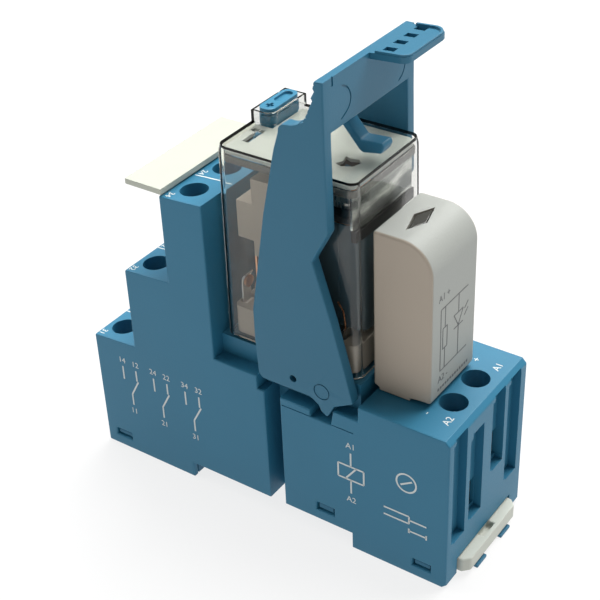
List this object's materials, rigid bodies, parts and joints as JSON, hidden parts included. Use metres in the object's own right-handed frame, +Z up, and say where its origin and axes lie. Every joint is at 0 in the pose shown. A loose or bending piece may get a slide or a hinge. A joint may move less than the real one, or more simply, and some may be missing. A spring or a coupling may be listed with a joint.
{
  "type": "plug-in relay on a rail socket",
  "caption": "Plug-in relay with clear cover on a stepped rail-mount socket, with screw terminals, a swinging retaining clip and a plug-in coil module.",
  "frame": {"origin": "centre of the rail seat, half way along the rail channel and across the socket's width", "axes": "+Z up from the rail, +X from the contact terminals to the coil terminals, +Y across the width"},
  "size_m": [0.0785, 0.027, 0.0897],
  "materials": {
    "socket_blue": "moulded, fine satin grain",
    "base_blue": "moulded, satin",
    "clip_blue": "moulded, satin",
    "cream_plastic": "moulded, fine grain",
    "white_plastic": "moulded, smooth",
    "button_blue": "moulded, semi-gloss",
    "clear_cover": "clear polycarbonate, polished",
    "dark_lens": "tinted clear plastic, polished",
    "plated_steel": "nickel-plated",
    "zinc_steel": "zinc-plated",
    "contact_brass": "rolled brass strip",
    "copper_wire": "enamelled copper winding",
    "black_plastic": "moulded, satin",
    "board_green": "solder-resist board",
    "led_green": "tinted epoxy",
    "flag_orange": "moulded"
  },
  "bodies": {
    "socket": {"socket_housing": "socket_blue", "socket_base": "base_blue"},
    "rail_clip": {"rail_clip": "cream_plastic"},
    "marker_tag": {"marker_tag": "white_plastic"},
    "retaining_clip": {"retaining_clip": "clip_blue"},
    "relay": {"relay_cover": "clear_cover", "relay_base": "cream_plastic", "relay_top_plate": "white_plastic", "coil_pin_near": "plated_steel", "coil_pin_far": "plated_steel", "yoke": "plated_steel", "coil_bobbin": "black_plastic", "coil_winding": "copper_wire", "coil_core": "plated_steel", "contact_no_1": "contact_brass", "contact_nc_1": "contact_brass", "contact_common_1": "contact_brass", "contact_no_2": "contact_brass", "contact_nc_2": "contact_brass", "contact_common_2": "contact_brass", "contact_no_3": "contact_brass", "contact_nc_3": "contact_brass", "contact_common_3": "contact_brass"},
    "armature": {"armature": "plated_steel", "contact_carrier": "cream_plastic", "status_flag": "flag_orange", "moving_contact_1": "contact_brass", "moving_contact_2": "contact_brass", "moving_contact_3": "contact_brass"},
    "test_button": {"test_button": "button_blue"},
    "module": {"module_case": "cream_plastic", "module_base": "cream_plastic", "module_lens": "dark_lens", "module_board": "board_green", "module_led": "led_green", "module_pin_1": "plated_steel", "module_pin_2": "plated_steel"},
    "screw_low_1": {"terminal_screw_low_1": "plated_steel"},
    "clamp_low_1": {"terminal_clamp_low_1": "zinc_steel"},
    "screw_low_2": {"terminal_screw_low_2": "plated_steel"},
    "clamp_low_2": {"terminal_clamp_low_2": "zinc_steel"},
    "screw_low_3": {"terminal_screw_low_3": "plated_steel"},
    "clamp_low_3": {"terminal_clamp_low_3": "zinc_steel"},
    "screw_mid_1": {"terminal_screw_mid_1": "plated_steel"},
    "clamp_mid_1": {"terminal_clamp_mid_1": "zinc_steel"},
    "screw_mid_2": {"terminal_screw_mid_2": "plated_steel"},
    "clamp_mid_2": {"terminal_clamp_mid_2": "zinc_steel"},
    "screw_mid_3": {"terminal_screw_mid_3": "plated_steel"},
    "clamp_mid_3": {"terminal_clamp_mid_3": "zinc_steel"},
    "screw_top_1": {"terminal_screw_top_1": "plated_steel"},
    "clamp_top_1": {"terminal_clamp_top_1": "zinc_steel"},
    "screw_top_2": {"terminal_screw_top_2": "plated_steel"},
    "clamp_top_2": {"terminal_clamp_top_2": "zinc_steel"},
    "screw_top_3": {"terminal_screw_top_3": "plated_steel"},
    "clamp_top_3": {"terminal_clamp_top_3": "zinc_steel"},
    "screw_a1": {"terminal_screw_a1": "plated_steel"},
    "clamp_a1": {"terminal_clamp_a1": "zinc_steel"},
    "screw_a2": {"terminal_screw_a2": "plated_steel"},
    "clamp_a2": {"terminal_clamp_a2": "zinc_steel"}
  },
  "joints": [
    {"name": "clip_swing", "type": "hinge", "parent": "socket", "child": "retaining_clip", "pos_m": [0.0123, 0, 0.0292], "axis": [0, 1, 0], "range_deg": [0, 25]},
    {"name": "relay_lift", "type": "slide", "parent": "socket", "child": "relay", "axis": [0, 0, 1], "range_m": [0, 0.0013]},
    {"name": "test_button_press", "type": "slide", "parent": "relay", "child": "test_button", "axis": [0, 0, -1], "range_m": [0, 0.00065], "stiffness_N_per_m": 600, "springref_m": -0.0006},
    {"name": "armature_rock", "type": "hinge", "parent": "relay", "child": "armature", "pos_m": [0.0039, 0, 0.0631], "axis": [0, 1, 0], "range_deg": [0, 3.5]},
    {"name": "module_pull", "type": "slide", "parent": "socket", "child": "module", "axis": [0, 0, 1], "range_m": [0, 0.0045]},
    {"name": "rail_clip_pull", "type": "slide", "parent": "socket", "child": "rail_clip", "axis": [1, 0, 0], "range_m": [0, 0.003], "stiffness_N_per_m": 900, "springref_m": -0.002},
    {"name": "marker_tag_pull", "type": "slide", "parent": "socket", "child": "marker_tag", "axis": [-1, 0, 0], "range_m": [0, 0.003]},
    {"name": "screw_turn_low_1", "type": "hinge", "parent": "socket", "child": "screw_low_1", "pos_m": [-0.0356, -0.009, 0.0165], "axis": [0, 0, -1], "range_deg": [0, 1080]},
    {"name": "clamp_rise_low_1", "type": "slide", "parent": "socket", "child": "clamp_low_1", "axis": [0, 0, 1], "range_m": [0, 0.0015]},
    {"name": "screw_turn_low_2", "type": "hinge", "parent": "socket", "child": "screw_low_2", "pos_m": [-0.0356, 0, 0.0165], "axis": [0, 0, -1], "range_deg": [0, 1080]},
    {"name": "clamp_rise_low_2", "type": "slide", "parent": "socket", "child": "clamp_low_2", "axis": [0, 0, 1], "range_m": [0, 0.0015]},
    {"name": "screw_turn_low_3", "type": "hinge", "parent": "socket", "child": "screw_low_3", "pos_m": [-0.0356, 0.009, 0.0165], "axis": [0, 0, -1], "range_deg": [0, 1080]},
    {"name": "clamp_rise_low_3", "type": "slide", "parent": "socket", "child": "clamp_low_3", "axis": [0, 0, 1], "range_m": [0, 0.0015]},
    {"name": "screw_turn_mid_1", "type": "hinge", "parent": "socket", "child": "screw_mid_1", "pos_m": [-0.0257, -0.009, 0.034], "axis": [0, 0, -1], "range_deg": [0, 1080]},
    {"name": "clamp_rise_mid_1", "type": "slide", "parent": "socket", "child": "clamp_mid_1", "axis": [0, 0, 1], "range_m": [0, 0.0015]},
    {"name": "screw_turn_mid_2", "type": "hinge", "parent": "socket", "child": "screw_mid_2", "pos_m": [-0.0257, 0, 0.034], "axis": [0, 0, -1], "range_deg": [0, 1080]},
    {"name": "clamp_rise_mid_2", "type": "slide", "parent": "socket", "child": "clamp_mid_2", "axis": [0, 0, 1], "range_m": [0, 0.0015]},
    {"name": "screw_turn_mid_3", "type": "hinge", "parent": "socket", "child": "screw_mid_3", "pos_m": [-0.0257, 0.009, 0.034], "axis": [0, 0, -1], "range_deg": [0, 1080]},
    {"name": "clamp_rise_mid_3", "type": "slide", "parent": "socket", "child": "clamp_mid_3", "axis": [0, 0, 1], "range_m": [0, 0.0015]},
    {"name": "screw_turn_top_1", "type": "hinge", "parent": "socket", "child": "screw_top_1", "pos_m": [-0.0153, -0.009, 0.0524], "axis": [0, 0, -1], "range_deg": [0, 1080]},
    {"name": "clamp_rise_top_1", "type": "slide", "parent": "socket", "child": "clamp_top_1", "axis": [0, 0, 1], "range_m": [0, 0.0015]},
    {"name": "screw_turn_top_2", "type": "hinge", "parent": "socket", "child": "screw_top_2", "pos_m": [-0.0153, 0, 0.0524], "axis": [0, 0, -1], "range_deg": [0, 1080]},
    {"name": "clamp_rise_top_2", "type": "slide", "parent": "socket", "child": "clamp_top_2", "axis": [0, 0, 1], "range_m": [0, 0.0015]},
    {"name": "screw_turn_top_3", "type": "hinge", "parent": "socket", "child": "screw_top_3", "pos_m": [-0.0153, 0.009, 0.0524], "axis": [0, 0, -1], "range_deg": [0, 1080]},
    {"name": "clamp_rise_top_3", "type": "slide", "parent": "socket", "child": "clamp_top_3", "axis": [0, 0, 1], "range_m": [0, 0.0015]},
    {"name": "screw_turn_a1", "type": "hinge", "parent": "socket", "child": "screw_a1", "pos_m": [0.0322, 0.0038, 0.0234], "axis": [0, 0, -1], "range_deg": [0, 1080]},
    {"name": "clamp_rise_a1", "type": "slide", "parent": "socket", "child": "clamp_a1", "axis": [0, 0, 1], "range_m": [0, 0.0015]},
    {"name": "screw_turn_a2", "type": "hinge", "parent": "socket", "child": "screw_a2", "pos_m": [0.0322, -0.0038, 0.0234], "axis": [0, 0, -1], "range_deg": [0, 1080]},
    {"name": "clamp_rise_a2", "type": "slide", "parent": "socket", "child": "clamp_a2", "axis": [0, 0, 1], "range_m": [0, 0.0015]}
  ],
  "couplings": [
    {"joint": "clip_swing", "follows": "relay_lift", "rad_per_m": 333.3},
    {"joint": "armature_rock", "follows": "test_button_press", "rad_per_m": 93.9},
    {"joint": "screw_turn_low_1", "follows": "clamp_rise_low_1", "rad_per_m": 12560},
    {"joint": "screw_turn_low_2", "follows": "clamp_rise_low_2", "rad_per_m": 12560},
    {"joint": "screw_turn_low_3", "follows": "clamp_rise_low_3", "rad_per_m": 12560},
    {"joint": "screw_turn_mid_1", "follows": "clamp_rise_mid_1", "rad_per_m": 12560},
    {"joint": "screw_turn_mid_2", "follows": "clamp_rise_mid_2", "rad_per_m": 12560},
    {"joint": "screw_turn_mid_3", "follows": "clamp_rise_mid_3", "rad_per_m": 12560},
    {"joint": "screw_turn_top_1", "follows": "clamp_rise_top_1", "rad_per_m": 12560},
    {"joint": "screw_turn_top_2", "follows": "clamp_rise_top_2", "rad_per_m": 12560},
    {"joint": "screw_turn_top_3", "follows": "clamp_rise_top_3", "rad_per_m": 12560},
    {"joint": "screw_turn_a1", "follows": "clamp_rise_a1", "rad_per_m": 12560},
    {"joint": "screw_turn_a2", "follows": "clamp_rise_a2", "rad_per_m": 12560}
  ]
}
